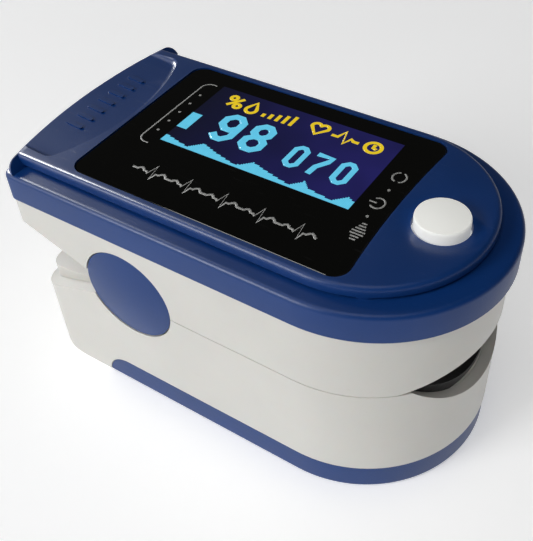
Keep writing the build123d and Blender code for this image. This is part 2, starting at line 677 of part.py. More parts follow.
def battery_door():
    """Blue bottom cover that slides forwards off the bay, with grip grooves underneath."""
    start, middle, end = door_arc(SHELL_DOOR_R - 0.1, 0)
    view_edges = [
        Line(start, (30, 0)),
        Line((30, 0), (30, end[1])),
        Line((30, end[1]), end),
        ThreePointArc(end, middle, start),
    ]
    body = slab(outline(LOWER[0] - 0.1, LOWER[1], -40, 3.0, 1.0), 0, DOOR_TOP)
    body = fillet(body.faces().sort_by(Axis.Z)[0].edges(), 0.7)
    door = body & side(make_face(view_edges), -20, 20)
    door = door - slab(outline(LOWER[0] - 1.4, LOWER[1] - 1.25, -45, 3.0, 1.0), DOOR_PLATE, 20)

    hook = block((-RAIL_END + 0.3, RAIL_Y + 0.3, 2.5), (RAIL_END - 0.3, 14.3, 3.3))
    door = door + both_sides(hook)
    for i in range(5):
        door = door - block((15 + 1.4 * i, -5, -1), (15.7 + 1.4 * i, 5, 0.35))
    arrow = Polygon((25.2, 0), (23.2, 2), (23.2, -2), align=None)
    return door - slab(arrow, -1, 0.35)


# ---------------------------------------------------------------- hinge


def hinge_pin():
    """Steel pin that both jaws turn on."""
    pin = rod(PIVOT_X, PIVOT_Z, PIN_R, -PIN_HALF, PIN_HALF)
    return chamfer(pin.edges().filter_by(GeomType.CIRCLE), 0.2)


def torsion_spring():
    """Closing spring on the +Y side: a coil round the pin and two crossed legs to the rear."""
    coil_length = SPRING_TURNS * SPRING_PITCH
    path = Helix(SPRING_PITCH, coil_length, SPRING_R)
    section = Plane(origin=path @ 0, z_dir=path % 0) * Circle(SPRING_WIRE_R)
    coil = sweep(section, path, is_frenet=True)
    coil = Pos(PIVOT_X, SPRING_START_Y, PIVOT_Z) * Rot(-90, 0, 0) * coil
    legs = Part()
    for y, lift in ((SPRING_START_Y, -1), (SPRING_START_Y + coil_length, 1)):
        angle = radians(LEG_ANGLE)
        start = Vector(PIVOT_X - SPRING_R * sin(angle), y, PIVOT_Z + lift * SPRING_R * cos(angle))
        way = Vector(-cos(angle), 0, -lift * sin(angle))
        leg = extrude(Plane(origin=start, z_dir=way) * Circle(SPRING_WIRE_R), LEG_LENGTH)
        hook = extrude(Plane(origin=start - way * 0.01, z_dir=-way) * Circle(SPRING_WIRE_R), 1.6)
        legs = legs + leg + hook
    return coil + legs


def pivot_cap():
    """Blue domed cap over the pin's end on the +Y side."""
    rim_y = LOWER[1] - 0.1
    cap = domed(CAP_R, CAP_INNER_Y, rim_y + CAP_DOME, CAP_DOME, 0.4)
    cap = cap - post(0, 0, PIN_HOLE_R, CAP_INNER_Y - 1, PIN_HALF + 0.1)
    return Pos(PIVOT_X, 0, PIVOT_Z) * Rot(-90, 0, 0) * cap


nodes = {
    "top_cover": top_cover(),
    "display_window": display_window(),
    "display_panel": display_panel(),
    "display_frame": display_frame(),
    "display_ribbon": display_ribbon(),
    "main_board": main_board(),
    "processor_chip": processor_chip(),
    "signal_chip": signal_chip(),
    "clock_crystal": clock_crystal(),
    "board_components": board_components(),
    "ribbon_socket": ribbon_socket(),
    "board_screws": board_screws(),
    "switch_body": switch_body(),
    "switch_plunger": switch_plunger(),
    "button_cap": button_cap(),
    "upper_shell": upper_shell(),
    "upper_finger_pad": upper_finger_pad(),
    "emitter_board": emitter_board(),
    "emitter_led": emitter_led(),
    "emitter_window": emitter_window(),
    "cover_screws": cover_screws(),
    "lower_shell": lower_shell(),
    "lower_finger_pad": lower_finger_pad(),
    "sensor_board": sensor_board(),
    "photodiode": photodiode(),
    "sensor_window": sensor_window(),
    "sensor_ribbon": sensor_ribbon(),
    "near_battery": cell(-CELL_Y, -1),
    "far_battery": cell(CELL_Y, 1),
    "bridge_contact": bridge_contact(),
    "positive_contact": positive_contact(),
    "negative_contact": negative_contact(),
    "battery_door": battery_door(),
    "hinge_pin": hinge_pin(),
    "far_torsion_spring": torsion_spring(),
    "near_torsion_spring": mirror(torsion_spring(), Plane.XZ),
    "far_pivot_cap": pivot_cap(),
    "near_pivot_cap": mirror(pivot_cap(), Plane.XZ),
}

os.makedirs("parts", exist_ok=True)
for name, solid in nodes.items():
    export_step(solid, f"parts/{name}.step")
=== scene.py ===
import json
from math import cos, pi, radians, sin

import bmesh
import bpy
from mathutils import Matrix, Vector

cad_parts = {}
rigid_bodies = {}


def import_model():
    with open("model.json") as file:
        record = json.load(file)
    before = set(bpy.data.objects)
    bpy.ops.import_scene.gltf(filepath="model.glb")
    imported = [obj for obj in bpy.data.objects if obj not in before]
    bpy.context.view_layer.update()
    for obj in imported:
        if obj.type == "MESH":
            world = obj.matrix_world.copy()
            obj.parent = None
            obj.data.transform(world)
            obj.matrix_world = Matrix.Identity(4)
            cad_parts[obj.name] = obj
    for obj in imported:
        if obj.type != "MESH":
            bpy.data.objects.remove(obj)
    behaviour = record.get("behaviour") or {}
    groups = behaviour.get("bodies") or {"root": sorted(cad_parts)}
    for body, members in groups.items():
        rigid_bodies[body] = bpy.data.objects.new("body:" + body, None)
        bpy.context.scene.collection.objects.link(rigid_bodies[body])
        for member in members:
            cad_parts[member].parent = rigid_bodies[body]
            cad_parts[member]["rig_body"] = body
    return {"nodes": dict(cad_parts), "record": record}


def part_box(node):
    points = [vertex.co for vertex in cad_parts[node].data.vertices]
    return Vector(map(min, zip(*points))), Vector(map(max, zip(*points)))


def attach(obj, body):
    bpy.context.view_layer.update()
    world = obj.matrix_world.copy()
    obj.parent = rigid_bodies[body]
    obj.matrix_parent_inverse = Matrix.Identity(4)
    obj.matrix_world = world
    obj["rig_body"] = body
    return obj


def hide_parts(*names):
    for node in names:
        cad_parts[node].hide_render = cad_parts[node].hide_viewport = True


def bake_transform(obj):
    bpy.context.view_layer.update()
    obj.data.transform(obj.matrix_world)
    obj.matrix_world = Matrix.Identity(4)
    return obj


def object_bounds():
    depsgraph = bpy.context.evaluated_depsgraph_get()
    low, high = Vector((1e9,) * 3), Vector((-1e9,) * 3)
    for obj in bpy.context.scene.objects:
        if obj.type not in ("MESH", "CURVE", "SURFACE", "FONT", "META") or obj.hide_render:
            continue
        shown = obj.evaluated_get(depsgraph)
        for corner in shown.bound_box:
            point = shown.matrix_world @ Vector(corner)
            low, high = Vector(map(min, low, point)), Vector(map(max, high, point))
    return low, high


# Fingertip pulse oximeter. Places are in millimetres, and MM turns them into metres.
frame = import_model()
cad_low, cad_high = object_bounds()

MM = 0.001
NODES = frame["nodes"]
SLOT_OF = {part["node"]: part["material_slot"] for part in frame["record"]["subparts"]}

# Printed and lit faces
WINDOW_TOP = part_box("display_window")[1].z / MM
INK_THICK = 0.02
SCREEN_X = (-13.4, 11.4)
SCREEN_Y = (-2.85, 9.85)
PIXEL_COLUMNS = 128
PIXEL_PITCH = (SCREEN_X[1] - SCREEN_X[0]) / PIXEL_COLUMNS
BIG_STROKE = 1.0
SMALL_STROKE = 0.72
SYMBOL_STROKE = 0.46
TRACE_STROKE = 0.34
ICON_STROKE = 0.22
BRACKET_STROKE = 0.20
DOT_R = 0.17

# Colours, as linear light
BLUE = (0.003, 0.040, 0.190)
WORN_BLUE = (0.012, 0.070, 0.270)
WHITE = (0.690, 0.680, 0.640)
WORN_WHITE = (0.560, 0.550, 0.500)
WINDOW_BLACK = (0.0028, 0.0028, 0.0022)
INK_GREY = (0.36, 0.36, 0.34)
PIXEL_BLUE = (0.130, 0.610, 0.860)
PIXEL_YELLOW = (0.840, 0.600, 0.010)
LINE_DARK = (0.0, 0.01, 0.05, 1.0)      # between the pixels
SCREEN_LEFT = (0.0045, 0.0040, 0.014, 1.0)
SCREEN_RIGHT = (0.016, 0.013, 0.105, 1.0)
CELL_BODY = (0.020, 0.022, 0.026)
CELL_BAND = (0.45, 0.20, 0.07, 1.0)
CELL_BAND_X = -10      # the band covers the cell rearward of this
EDGE_WEAR = 0.55       # how far worn edges go towards the worn colour
METAL_LINES = 3000.0   # how close the drawn lines in metal lie


# ---------------------------------------------------------------- shader groups


def new_group(name, inputs, outputs):
    """An empty shader group with its sockets; returns the group and its two end nodes."""
    group = bpy.data.node_groups.new(name, "ShaderNodeTree")
    for socket, kind, value in inputs:
        made = group.interface.new_socket(socket, in_out="INPUT", socket_type=kind)
        if value is not None:
            made.default_value = value
    for socket, kind in outputs:
        group.interface.new_socket(socket, in_out="OUTPUT", socket_type=kind)
    return group, group.nodes.new("NodeGroupInput"), group.nodes.new("NodeGroupOutput")


def math_node(tree, operation, first, second=None):
    """A Math node; first and second are sockets or numbers. Returns its output."""
    node = tree.nodes.new("ShaderNodeMath")
    node.operation = operation
    for slot, value in zip(node.inputs, (first, second)):
        if isinstance(value, bpy.types.NodeSocket):
            tree.links.new(value, slot)
        elif value is not None:
            slot.default_value = value
    return node.outputs[0]


def noise(tree, place, scale, detail=2.0):
    """A noise pattern on a place socket; scale is a number or a socket."""
    node = tree.nodes.new("ShaderNodeTexNoise")
    node.inputs["Detail"].default_value = detail
    tree.links.new(place, node.inputs["Vector"])
    if isinstance(scale, bpy.types.NodeSocket):
        tree.links.new(scale, node.inputs["Scale"])
    else:
        node.inputs["Scale"].default_value = scale
    return node.outputs["Fac"]


def mix_colours(tree, factor, first, second):
    """Blend of two colours by a factor socket."""
    node = tree.nodes.new("ShaderNodeMix")
    node.data_type = "RGBA"
    for value, slot in zip((factor, first, second), (node.inputs[0], node.inputs[6], node.inputs[7])):
        if isinstance(value, bpy.types.NodeSocket):
            tree.links.new(value, slot)
        else:
            slot.default_value = value
    return node.outputs[2]


def remap(tree, value, low, high, to_low=0.0, to_high=1.0):
    """Stretch of a value's range; the two ends of the new range are numbers or sockets."""
    node = tree.nodes.new("ShaderNodeMapRange")
    tree.links.new(value, node.inputs["Value"])
    node.inputs["From Min"].default_value = low
    node.inputs["From Max"].default_value = high
    for name, end in (("To Min", to_low), ("To Max", to_high)):
        if isinstance(end, bpy.types.NodeSocket):
            tree.links.new(end, node.inputs[name])
        else:
            node.inputs[name].default_value = end
    return node.outputs[0]


def surface_group():
    """Colour drift, fine grain and handling marks of a moulded or metal surface."""
    group, start, end = new_group(
        "worn_surface",
        [
            ("Place", "NodeSocketVector", None),
            ("Colour", "NodeSocketColor", None),
            ("Worn Colour", "NodeSocketColor", None),
            ("Edge", "NodeSocketFloat", 0.0),
            ("Drift", "NodeSocketFloat", 0.1),
            ("Grain Scale", "NodeSocketFloat", 9000.0),
            ("Low Roughness", "NodeSocketFloat", 0.3),
            ("High Roughness", "NodeSocketFloat", 0.4),
        ],
        [("Colour", "NodeSocketColor"), ("Roughness", "NodeSocketFloat"), ("Height", "NodeSocketFloat")],
    )
    place = start.outputs["Place"]
    grain = noise(group, place, start.outputs["Grain Scale"], 3.0)
    cloud = noise(group, place, 70.0, 4.0)

    stretch = group.nodes.new("ShaderNodeMapping")
    stretch.inputs["Rotation"].default_value = (0.2, 0.1, 0.7)
    stretch.inputs["Scale"].default_value = (1.0, 14.0, 5.0)
    group.links.new(place, stretch.inputs["Vector"])
    lines = noise(group, stretch.outputs[0], 260.0, 6.0)
    scratch = remap(group, lines, 0.66, 0.72)
    rubbed = remap(group, noise(group, place, 520.0, 4.0), 0.35, 0.75)

    shade = math_node(group, "MULTIPLY", remap(group, cloud, 0.3, 0.7, -1.0, 1.0), start.outputs["Drift"])
    tone = group.nodes.new("ShaderNodeHueSaturation")
    group.links.new(math_node(group, "ADD", shade, 1.0), tone.inputs["Value"])
    group.links.new(start.outputs["Colour"], tone.inputs["Color"])
    edge = math_node(group, "MULTIPLY", start.outputs["Edge"], rubbed)
    marks = math_node(group, "MULTIPLY", scratch, 0.10)
    wear = math_node(group, "MAXIMUM", edge, marks)
    colour = mix_colours(group, wear, tone.outputs[0], start.outputs["Worn Colour"])
    group.links.new(colour, end.inputs["Colour"])

    base = remap(group, cloud, 0.25, 0.75, start.outputs["Low Roughness"], start.outputs["High Roughness"])
    rough = math_node(group, "ADD", base, math_node(group, "MULTIPLY", wear, 0.15))
    group.links.new(rough, end.inputs["Roughness"])
    height = math_node(group, "SUBTRACT", grain, math_node(group, "MULTIPLY", scratch, 0.5))
    group.links.new(height, end.inputs["Height"])
    return group


def pixel_group():
    """The thin dark lines between the pixels of the lit screen."""
    group, start, end = new_group(
        "pixel_lines",
        [("Place", "NodeSocketVector", None), ("Colour", "NodeSocketColor", None)],
        [("Colour", "NodeSocketColor")],
    )
    axes = group.nodes.new("ShaderNodeSeparateXYZ")
    group.links.new(start.outputs["Place"], axes.inputs[0])
    lines = []
    for axis in (0, 1):
        step = math_node(group, "MULTIPLY", axes.outputs[axis], 1 / (PIXEL_PITCH * MM))
        lines.append(math_node(group, "LESS_THAN", math_node(group, "FRACT", step), 0.2))
    line = math_node(group, "MAXIMUM", *lines)
    flicker = math_node(group, "MULTIPLY", noise(group, start.outputs["Place"], 1500.0), 0.14)
    dim = math_node(group, "ADD", math_node(group, "MULTIPLY", line, 0.14), flicker)
    colour = mix_colours(group, dim, start.outputs["Colour"], LINE_DARK)
    group.links.new(colour, end.inputs["Colour"])
    return group


def brushed_group():
    """Fine lines that run along X, as turning and drawing leave them on metal."""
    group, start, end = new_group(
        "brushed_lines",
        [("Place", "NodeSocketVector", None), ("Scale", "NodeSocketFloat", 3000.0)],
        [("Height", "NodeSocketFloat")],
    )
    stretch = group.nodes.new("ShaderNodeMapping")
    stretch.inputs["Scale"].default_value = (0.05, 1.0, 1.0)
    group.links.new(start.outputs["Place"], stretch.inputs["Vector"])
    lines = noise(group, stretch.outputs[0], start.outputs["Scale"], 2.0)
    group.links.new(lines, end.inputs["Height"])
    return group


SURFACE = surface_group()
PIXELS = pixel_group()
BRUSHED = brushed_group()


# ---------------------------------------------------------------- materials


def rgba(colour):
    """A colour with full alpha."""
    return (*colour, 1.0)


def place_group(tree, group, values):
    """Puts a group in a material, reading the piece's own coordinates, and sets its inputs."""
    node = tree.nodes.new("ShaderNodeGroup")
    node.node_tree = group
    coordinates = tree.nodes.new("ShaderNodeTexCoord")
    tree.links.new(coordinates.outputs["Object"], node.inputs["Place"])
    for name, value in values.items():
        node.inputs[name].default_value = value
    return node


def edge_mask(tree, width):
    """Mask of the outer edges, where a rounded normal differs from the true one."""
    rounded = tree.nodes.new("ShaderNodeBevel")
    rounded.samples = 4
    rounded.inputs["Radius"].default_value = width * MM
    geometry = tree.nodes.new("ShaderNodeNewGeometry")
    dot = tree.nodes.new("ShaderNodeVectorMath")
    dot.operation = "DOT_PRODUCT"
    tree.links.new(rounded.outputs[0], dot.inputs[0])
    tree.links.new(geometry.outputs["Normal"], dot.inputs[1])
    return remap(tree, dot.outputs["Value"], 0.999, 0.90)


def worn_material(name, colour, worn, rough, grain=9000.0, bump=0.02, drift=0.08, edge=0.0, **shader):
    """A solid finish with drift, grain and wear. rough is its low and high roughness, bump the
    grain's depth in mm, edge the width of its worn edges in mm, and shader the plain settings."""
    material = bpy.data.materials.new(name)
    material.use_nodes = True
    tree = material.node_tree
    surface = tree.nodes["Principled BSDF"]
    group = place_group(tree, SURFACE, {
        "Colour": rgba(colour),
        "Worn Colour": rgba(worn),
        "Drift": drift,
        "Grain Scale": grain,
        "Low Roughness": rough[0],
        "High Roughness": rough[1],
    })
    if edge:
        wear = math_node(tree, "MULTIPLY", edge_mask(tree, edge), EDGE_WEAR)
        tree.links.new(wear, group.inputs["Edge"])
    tree.links.new(group.outputs["Colour"], surface.inputs["Base Color"])
    tree.links.new(group.outputs["Roughness"], surface.inputs["Roughness"])
    relief = tree.nodes.new("ShaderNodeBump")
    relief.inputs["Distance"].default_value = bump * MM
    tree.links.new(group.outputs["Height"], relief.inputs["Height"])
    tree.links.new(relief.outputs[0], surface.inputs["Normal"])
    for socket, value in shader.items():
        surface.inputs[socket.replace("_", " ")].default_value = value
    return material


def metal_material(name, colour, worn, rough):
    """A metal with fine lines along X."""
    material = worn_material(name, colour, worn, rough, bump=0.004, drift=0.05, Metallic=1.0)
    tree = material.node_tree
    brushed = place_group(tree, BRUSHED, {"Scale": METAL_LINES})
    tree.links.new(brushed.outputs["Height"], tree.nodes["Bump"].inputs["Height"])
    return material


def lit_material(name, colour):
    """Lit pixels of one colour under polished glass."""
    material = bpy.data.materials.new(name)
    material.use_nodes = True
    tree = material.node_tree
    surface = tree.nodes["Principled BSDF"]
    surface.inputs["Base Color"].default_value = rgba(WINDOW_BLACK)
    surface.inputs["Roughness"].default_value = 0.2
    surface.inputs["Specular IOR Level"].default_value = 0.2
    surface.inputs["Emission Strength"].default_value = 1.0
    pixels = place_group(tree, PIXELS, {"Colour": rgba(colour)})
    tree.links.new(pixels.outputs["Colour"], surface.inputs["Emission Color"])
    return material


def unlit_screen_material():
    """The screen behind the picture: near black on the left, deep violet on the right."""
    material = lit_material("screen_dark", WINDOW_BLACK)
    tree = material.node_tree
    pixels = next(node for node in tree.nodes if node.type == "GROUP")
    axes = tree.nodes.new("ShaderNodeSeparateXYZ")
    coordinates = tree.nodes.new("ShaderNodeTexCoord")
    tree.links.new(coordinates.outputs["Object"], axes.inputs[0])
    across = remap(tree, axes.outputs[0], SCREEN_X[0] * MM, SCREEN_X[1] * MM)
    patch = noise(tree, coordinates.outputs["Object"], 160.0, 1.0)
    glow = math_node(tree, "MULTIPLY", across, remap(tree, patch, 0.2, 0.8, 0.55, 1.25))
    colour = mix_colours(tree, glow, SCREEN_LEFT, SCREEN_RIGHT)
    tree.links.new(colour, pixels.inputs["Colour"])
    return material


def cell_material():
    """Printed jacket of an AAA cell: a dark body and a copper band."""
    material = worn_material("cell_jacket", CELL_BODY, (0.2, 0.2, 0.2), (0.22, 0.32), Metallic=0.6)
    tree = material.node_tree
    group = next(node for node in tree.nodes if node.type == "GROUP")
    axes = tree.nodes.new("ShaderNodeSeparateXYZ")
    coordinates = tree.nodes.new("ShaderNodeTexCoord")
    tree.links.new(coordinates.outputs["Object"], axes.inputs[0])
    band = math_node(tree, "LESS_THAN", axes.outputs[0], CELL_BAND_X * MM)
    colour = mix_colours(tree, band, rgba(CELL_BODY), CELL_BAND)
    tree.links.new(colour, group.inputs["Colour"])
    return material


MATERIALS = {
    "blue_plastic": worn_material(
        "blue_plastic", BLUE, WORN_BLUE, (0.34, 0.40), grain=7000.0, bump=0.012, edge=0.35,
        Specular_IOR_Level=0.32,
    ),
    "white_plastic": worn_material(
        "white_plastic", WHITE, WORN_WHITE, (0.30, 0.38), grain=6000.0, bump=0.010, drift=0.03, edge=0.25,
        Subsurface_Weight=0.08, Subsurface_Scale=0.0006,
    ),
    "black_window": worn_material(
        "black_window", WINDOW_BLACK, (0.05, 0.05, 0.05), (0.05, 0.09), bump=0.001, edge=0.12,
        Specular_IOR_Level=0.45,
    ),
    "screen_glass": worn_material(
        "screen_glass", (0.01, 0.01, 0.03), (0.1, 0.1, 0.1), (0.05, 0.1), bump=0.001
    ),
    "black_plastic": worn_material("black_plastic", (0.012, 0.012, 0.012), (0.06, 0.06, 0.06), (0.45, 0.6)),
    "ribbon_film": worn_material(
        "ribbon_film", (0.50, 0.20, 0.03), (0.6, 0.35, 0.1), (0.3, 0.4), bump=0.004, Coat_Weight=0.3
    ),
    "board_laminate": worn_material(
        "board_laminate", (0.008, 0.110, 0.035), (0.02, 0.2, 0.08), (0.3, 0.45), Coat_Weight=0.4
    ),
    "chip_epoxy": worn_material("chip_epoxy", (0.014, 0.014, 0.015), (0.08, 0.08, 0.08), (0.5, 0.65)),
    "ceramic_chip": worn_material("ceramic_chip", (0.38, 0.24, 0.12), (0.6, 0.5, 0.4), (0.4, 0.55)),
    "ivory_plastic": worn_material("ivory_plastic", (0.60, 0.53, 0.38), (0.7, 0.66, 0.55), (0.4, 0.5)),
    "tinned_metal": metal_material("tinned_metal", (0.62, 0.62, 0.60), (0.5, 0.5, 0.48), (0.2, 0.32)),
    "steel": metal_material("steel", (0.46, 0.46, 0.47), (0.35, 0.34, 0.33), (0.25, 0.38)),
    "spring_steel": metal_material("spring_steel", (0.38, 0.38, 0.39), (0.3, 0.29, 0.27), (0.22, 0.35)),
    "contact_nickel": metal_material("contact_nickel", (0.66, 0.62, 0.54), (0.5, 0.46, 0.4), (0.18, 0.3)),
    "dark_rubber": worn_material(
        "dark_rubber", (0.010, 0.010, 0.011), (0.03, 0.03, 0.03), (0.6, 0.75), grain=4000.0, bump=0.03,
        Sheen_Weight=0.2,
    ),
    "clear_plastic": worn_material(
        "clear_plastic", (0.75, 0.78, 0.80), (0.8, 0.8, 0.8), (0.05, 0.12), bump=0.001,
        Transmission_Weight=0.85,
    ),
    "cell_jacket": cell_material(),
}
# Button plastic with a faint white emission: a painted glow that brightens the button's top, though the
# button is no lamp
BUTTON_WITH_PAINTED_GLOW = worn_material(
    "button_plastic_painted_glow", (0.90, 0.90, 0.86), (0.8, 0.8, 0.76), (0.25, 0.35), bump=0.004, drift=0.02,
    Emission_Color=(1.0, 1.0, 0.95, 1.0), Emission_Strength=0.30,
)
INK = worn_material("window_ink", INK_GREY, (0.2, 0.2, 0.19), (0.45, 0.6), bump=0.004, drift=0.12)
LIT_BLUE = lit_material("lit_pixels_blue", PIXEL_BLUE)
LIT_YELLOW = lit_material("lit_pixels_yellow", PIXEL_YELLOW)
UNLIT = unlit_screen_material()


# ---------------------------------------------------------------- the printed and lit shapes


def arc(x, y, radius, start, end, steps=12, squash=1.0):
    """Points along an arc, in degrees from +X; squash narrows it along X."""
    turns = [radians(start + (end - start) * i / steps) for i in range(steps + 1)]
    return [(x + radius * squash * cos(a), y + radius * sin(a)) for a in turns]


def octagon(x, y, width, height, cut):
    """Closed ring with cut corners, from its middle and overall size."""
    w, h = width / 2, height / 2
    quarter = [(w, h - cut), (w - cut, h)]
    mirrored = [(-px, py) for px, py in reversed(quarter)]
    upper = quarter + mirrored
    lower = [(-px, -py) for px, py in upper]
    return [(x + px, y + py) for px, py in upper + lower]


def drawing(name, lines, width, low, material, body="upper_jaw"):
    """Flat printed lines: each is (points, closed), drawn width wide with their foot at height low."""
    curve = bpy.data.curves.new(name + "_lines", "CURVE")
    curve.dimensions = "3D"
    curve.bevel_depth = width / 2
    curve.bevel_resolution = 1
    curve.use_fill_caps = True
    for points, closed in lines:
        spline = curve.splines.new("POLY")
        spline.points.add(len(points) - 1)
        for point, (x, y) in zip(spline.points, points):
            point.co = (x, y, 0, 1)
        spline.use_cyclic_u = closed
    holder = bpy.data.objects.new(name + "_holder", curve)
    mesh = bpy.data.meshes.new_from_object(holder)
    bpy.data.objects.remove(holder)
    flat = Matrix.Diagonal((MM, MM, MM * INK_THICK / width, 1))
    mesh.transform(Matrix.Translation((0, 0, (low + INK_THICK / 2) * MM)) @ flat)
    return add_piece(name, mesh, material, body)


def add_piece(name, mesh, material, body):
    """Puts a finished mesh in the scene as a named piece on a body."""
    piece = bpy.data.objects.new(name, mesh)
    bpy.context.scene.collection.objects.link(piece)
    mesh.materials.clear()
    mesh.materials.append(material)
    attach(piece, body)
    return piece


def plates(name, boxes, low, material, body="upper_jaw"):
    """Thin flat rectangles, each given as (x from, x to, y from, y to)."""
    bm = bmesh.new()
    for x0, x1, y0, y1 in boxes:
        size = Matrix.Diagonal(((x1 - x0) * MM, (y1 - y0) * MM, INK_THICK * MM, 1))
        middle = Matrix.Translation(((x0 + x1) / 2 * MM, (y0 + y1) / 2 * MM, (low + INK_THICK / 2) * MM))
        bmesh.ops.create_cube(bm, size=1.0, matrix=middle @ size)
    mesh = bpy.data.meshes.new(name)
    bm.to_mesh(mesh)
    bm.free()
    return add_piece(name, mesh, material, body)


def discs(name, places, radius, low, material):
    """Small printed dots."""
    bm = bmesh.new()
    for x, y in places:
        middle = Matrix.Translation((x * MM, y * MM, (low + INK_THICK / 2) * MM))
        bmesh.ops.create_cone(
            bm, cap_ends=True, segments=24, radius1=radius * MM, radius2=radius * MM,
            depth=INK_THICK * MM, matrix=middle,
        )
    mesh = bpy.data.meshes.new(name)
    bm.to_mesh(mesh)
    bm.free()
    return add_piece(name, mesh, material, "upper_jaw")


def big_digits():
    """The reading on the left: a nine and an eight."""
    nine_x, eight_x, base = -7.8, -3.7, 0.55
    nine_top = [(octagon(nine_x, 3.85, 2.3, 2.6, 0.75), True)]
    right = nine_x + 1.15
    tail = [
        (right, 4.2), (right, base + 0.9), (right - 0.8, base), (nine_x - 0.4, base),
        (nine_x - 1.15, base + 0.7),
    ]
    eight = [(octagon(eight_x, 1.75, 2.3, 2.4, 0.7), True), (octagon(eight_x, 4.1, 2.0, 2.2, 0.65), True)]
    return [*nine_top, (tail, False), *eight]


def small_digits():
    """The reading on the right: nought, seven, nought."""
    noughts = [(octagon(x, 2.1, 1.45, 3.5, 0.5), True) for x in (2.0, 8.05)]
    seven = [(3.9, 3.7), (5.8, 3.7), (5.6, 2.9), (4.75, 1.6), (4.6, 0.15)]
    return [*noughts, (seven, False)]


def share_symbols():
    """Yellow heading on the left: a per cent sign, a droplet and a rising scale."""
    percent = [
        (arc(-10.75, 8.35, 0.42, 0, 330), True),
        (arc(-9.55, 7.05, 0.42, 0, 330), True),
        ([(-10.9, 6.75), (-9.4, 8.65)], False),
    ]
    droplet = [(-7.6, 8.8)] + arc(-7.6, 7.25, 0.68, 150, 390, 14)
    scale = [([(-5.7 + 0.95 * i, 6.7), (-5.7 + 0.95 * i, 7.35 + 0.32 * i)], False) for i in range(5)]
    return [*percent, (droplet, True), *scale]


def rate_symbols():
    """Yellow heading on the right: a heart, a beat and a clock face."""
    heart = arc(0.95, 8.25, 0.55, 200, 20, 10) + arc(2.0, 8.25, 0.55, 160, -20, 10) + [(1.48, 6.75)]
    beat = [(3.3, 7.6), (4.1, 7.6), (4.6, 8.9), (5.2, 6.7), (5.7, 7.9), (6.1, 7.6), (6.8, 7.6)]
    clock = arc(8.6, 7.7, 0.95, 0, 345, 22)
    hands = [(8.6, 8.3), (8.6, 7.65), (9.05, 7.5)]
    return [(heart, True), (beat, False), (clock, True), (hands, False)]


# Peaks of the pulse picture: place, height over the foot, and length of the rise and the fall
PULSE_PEAKS = (
    (-8.5, 1.35, 1.5, 5.0),
    (-1.7, 1.30, 1.4, 5.4),
    (5.0, 1.25, 1.2, 1.6),
    (6.2, 0.35, 1.5, 2.8),
    (10.35, 1.30, 1.3, 3.4),
)
PULSE_FOOT = 0.42


def wave_height(x):
    """Height of the pulse picture over the screen's lower edge, in mm."""
    height = PULSE_FOOT + 0.75 * max(0.0, 1 - (x - SCREEN_X[0]) / 3.2)
    for peak, tall, rise, fall in PULSE_PEAKS:
        width = rise if x < peak else fall
        share = max(0.0, 1 - abs(x - peak) / width)
        height = max(height, PULSE_FOOT + tall * share**1.25)
    return height


def pulse_picture():
    """Filled pulse curve along the screen's foot, one step for each pixel column."""
    boxes = []
    for i in range(PIXEL_COLUMNS):
        x = SCREEN_X[0] + PIXEL_PITCH * i
        steps = round(wave_height(x) / PIXEL_PITCH)
        boxes.append((x, x + PIXEL_PITCH, SCREEN_Y[0], SCREEN_Y[0] + steps * PIXEL_PITCH))
    return boxes


def beat_trace():
    """A printed heartbeat line along the near side of the window, five beats long."""
    base, start, pitch = -8.30, -12.9, 4.76
    beat = [
        (0.00, 0.00), (0.70, 0.00), (0.90, 0.22), (1.15, 0.36), (1.40, 0.22), (1.60, 0.00), (2.00, 0.00),
        (2.18, -0.28), (2.60, 1.35), (2.98, -0.98), (3.20, 0.00), (3.55, 0.00), (3.80, 0.28), (4.08, 0.46),
        (4.36, 0.28), (4.60, 0.00),
    ]
    beats = [(start + pitch * i + x, base + y) for i in range(5) for x, y in beat]
    return [*beats, (start + 5 * pitch, base)]


def scale_bracket():
    """Printed bracket beside the bar of the screen."""
    left, top, low, bend = -15.85, 9.5, -4.05, 1.1
    upper = arc(left + bend, top - bend, bend, 90, 180)
    lower = arc(left + bend, low + bend, bend, 180, 270)
    return [(left + bend + 0.5, top), *upper, *lower, (left + bend + 0.5, low)]


def side_icons():
    """Printed signs in front of the screen: turn the view, switch on, and volume."""
    x = 13.55
    turn = [(arc(x, 4.45, 0.85, 105, 255, 14, 0.9), False), (arc(x, 4.45, 0.85, -75, 75, 14, 0.9), False)]
    power = [
        (arc(x, -0.45, 0.85, -135, 135, 20, 0.9), False),
        ([(x - 0.95, -0.45), (x - 0.1, -0.45)], False),
    ]
    volume = []
    for i, length in enumerate((0.55, 0.8, 1.15, 1.5, 1.5, 0.95, 0.65)):
        y = -3.95 - 0.43 * i
        volume.append(([(x + 0.4 - length / 2, y), (x + 0.4 + length / 2, y)], False))
    return turn + power + volume


def build_screen():
    """The lit picture over the window."""
    dark = WINDOW_TOP
    lit = dark + INK_THICK
    plates("screen_background", [(*SCREEN_X, *SCREEN_Y)], dark, UNLIT)
    plates("screen_bar", [(-13.4, -12.0, 0.2, 3.45)], lit, LIT_BLUE)
    plates("screen_pulse", pulse_picture(), lit, LIT_BLUE)
    drawing("screen_big_digits", big_digits(), BIG_STROKE, lit, LIT_BLUE)
    drawing("screen_small_digits", small_digits(), SMALL_STROKE, lit, LIT_BLUE)
    drawing("screen_share_symbols", share_symbols(), SYMBOL_STROKE, lit, LIT_YELLOW)
    drawing("screen_rate_symbols", rate_symbols(), SYMBOL_STROKE, lit, LIT_YELLOW)


def build_print():
    """The grey print on the window."""
    drawing("print_trace", [(beat_trace(), False)], TRACE_STROKE, WINDOW_TOP, INK)
    drawing("print_bracket", [(scale_bracket(), False)], BRACKET_STROKE, WINDOW_TOP, INK)
    drawing("print_icons", side_icons(), ICON_STROKE, WINDOW_TOP, INK)
    dots = [(-14.87, 6.8 - 2.06 * i) for i in range(5)] + [(13.55, 2.0), (13.6, -2.8)]
    discs("print_dots", dots, DOT_R, WINDOW_TOP, INK)


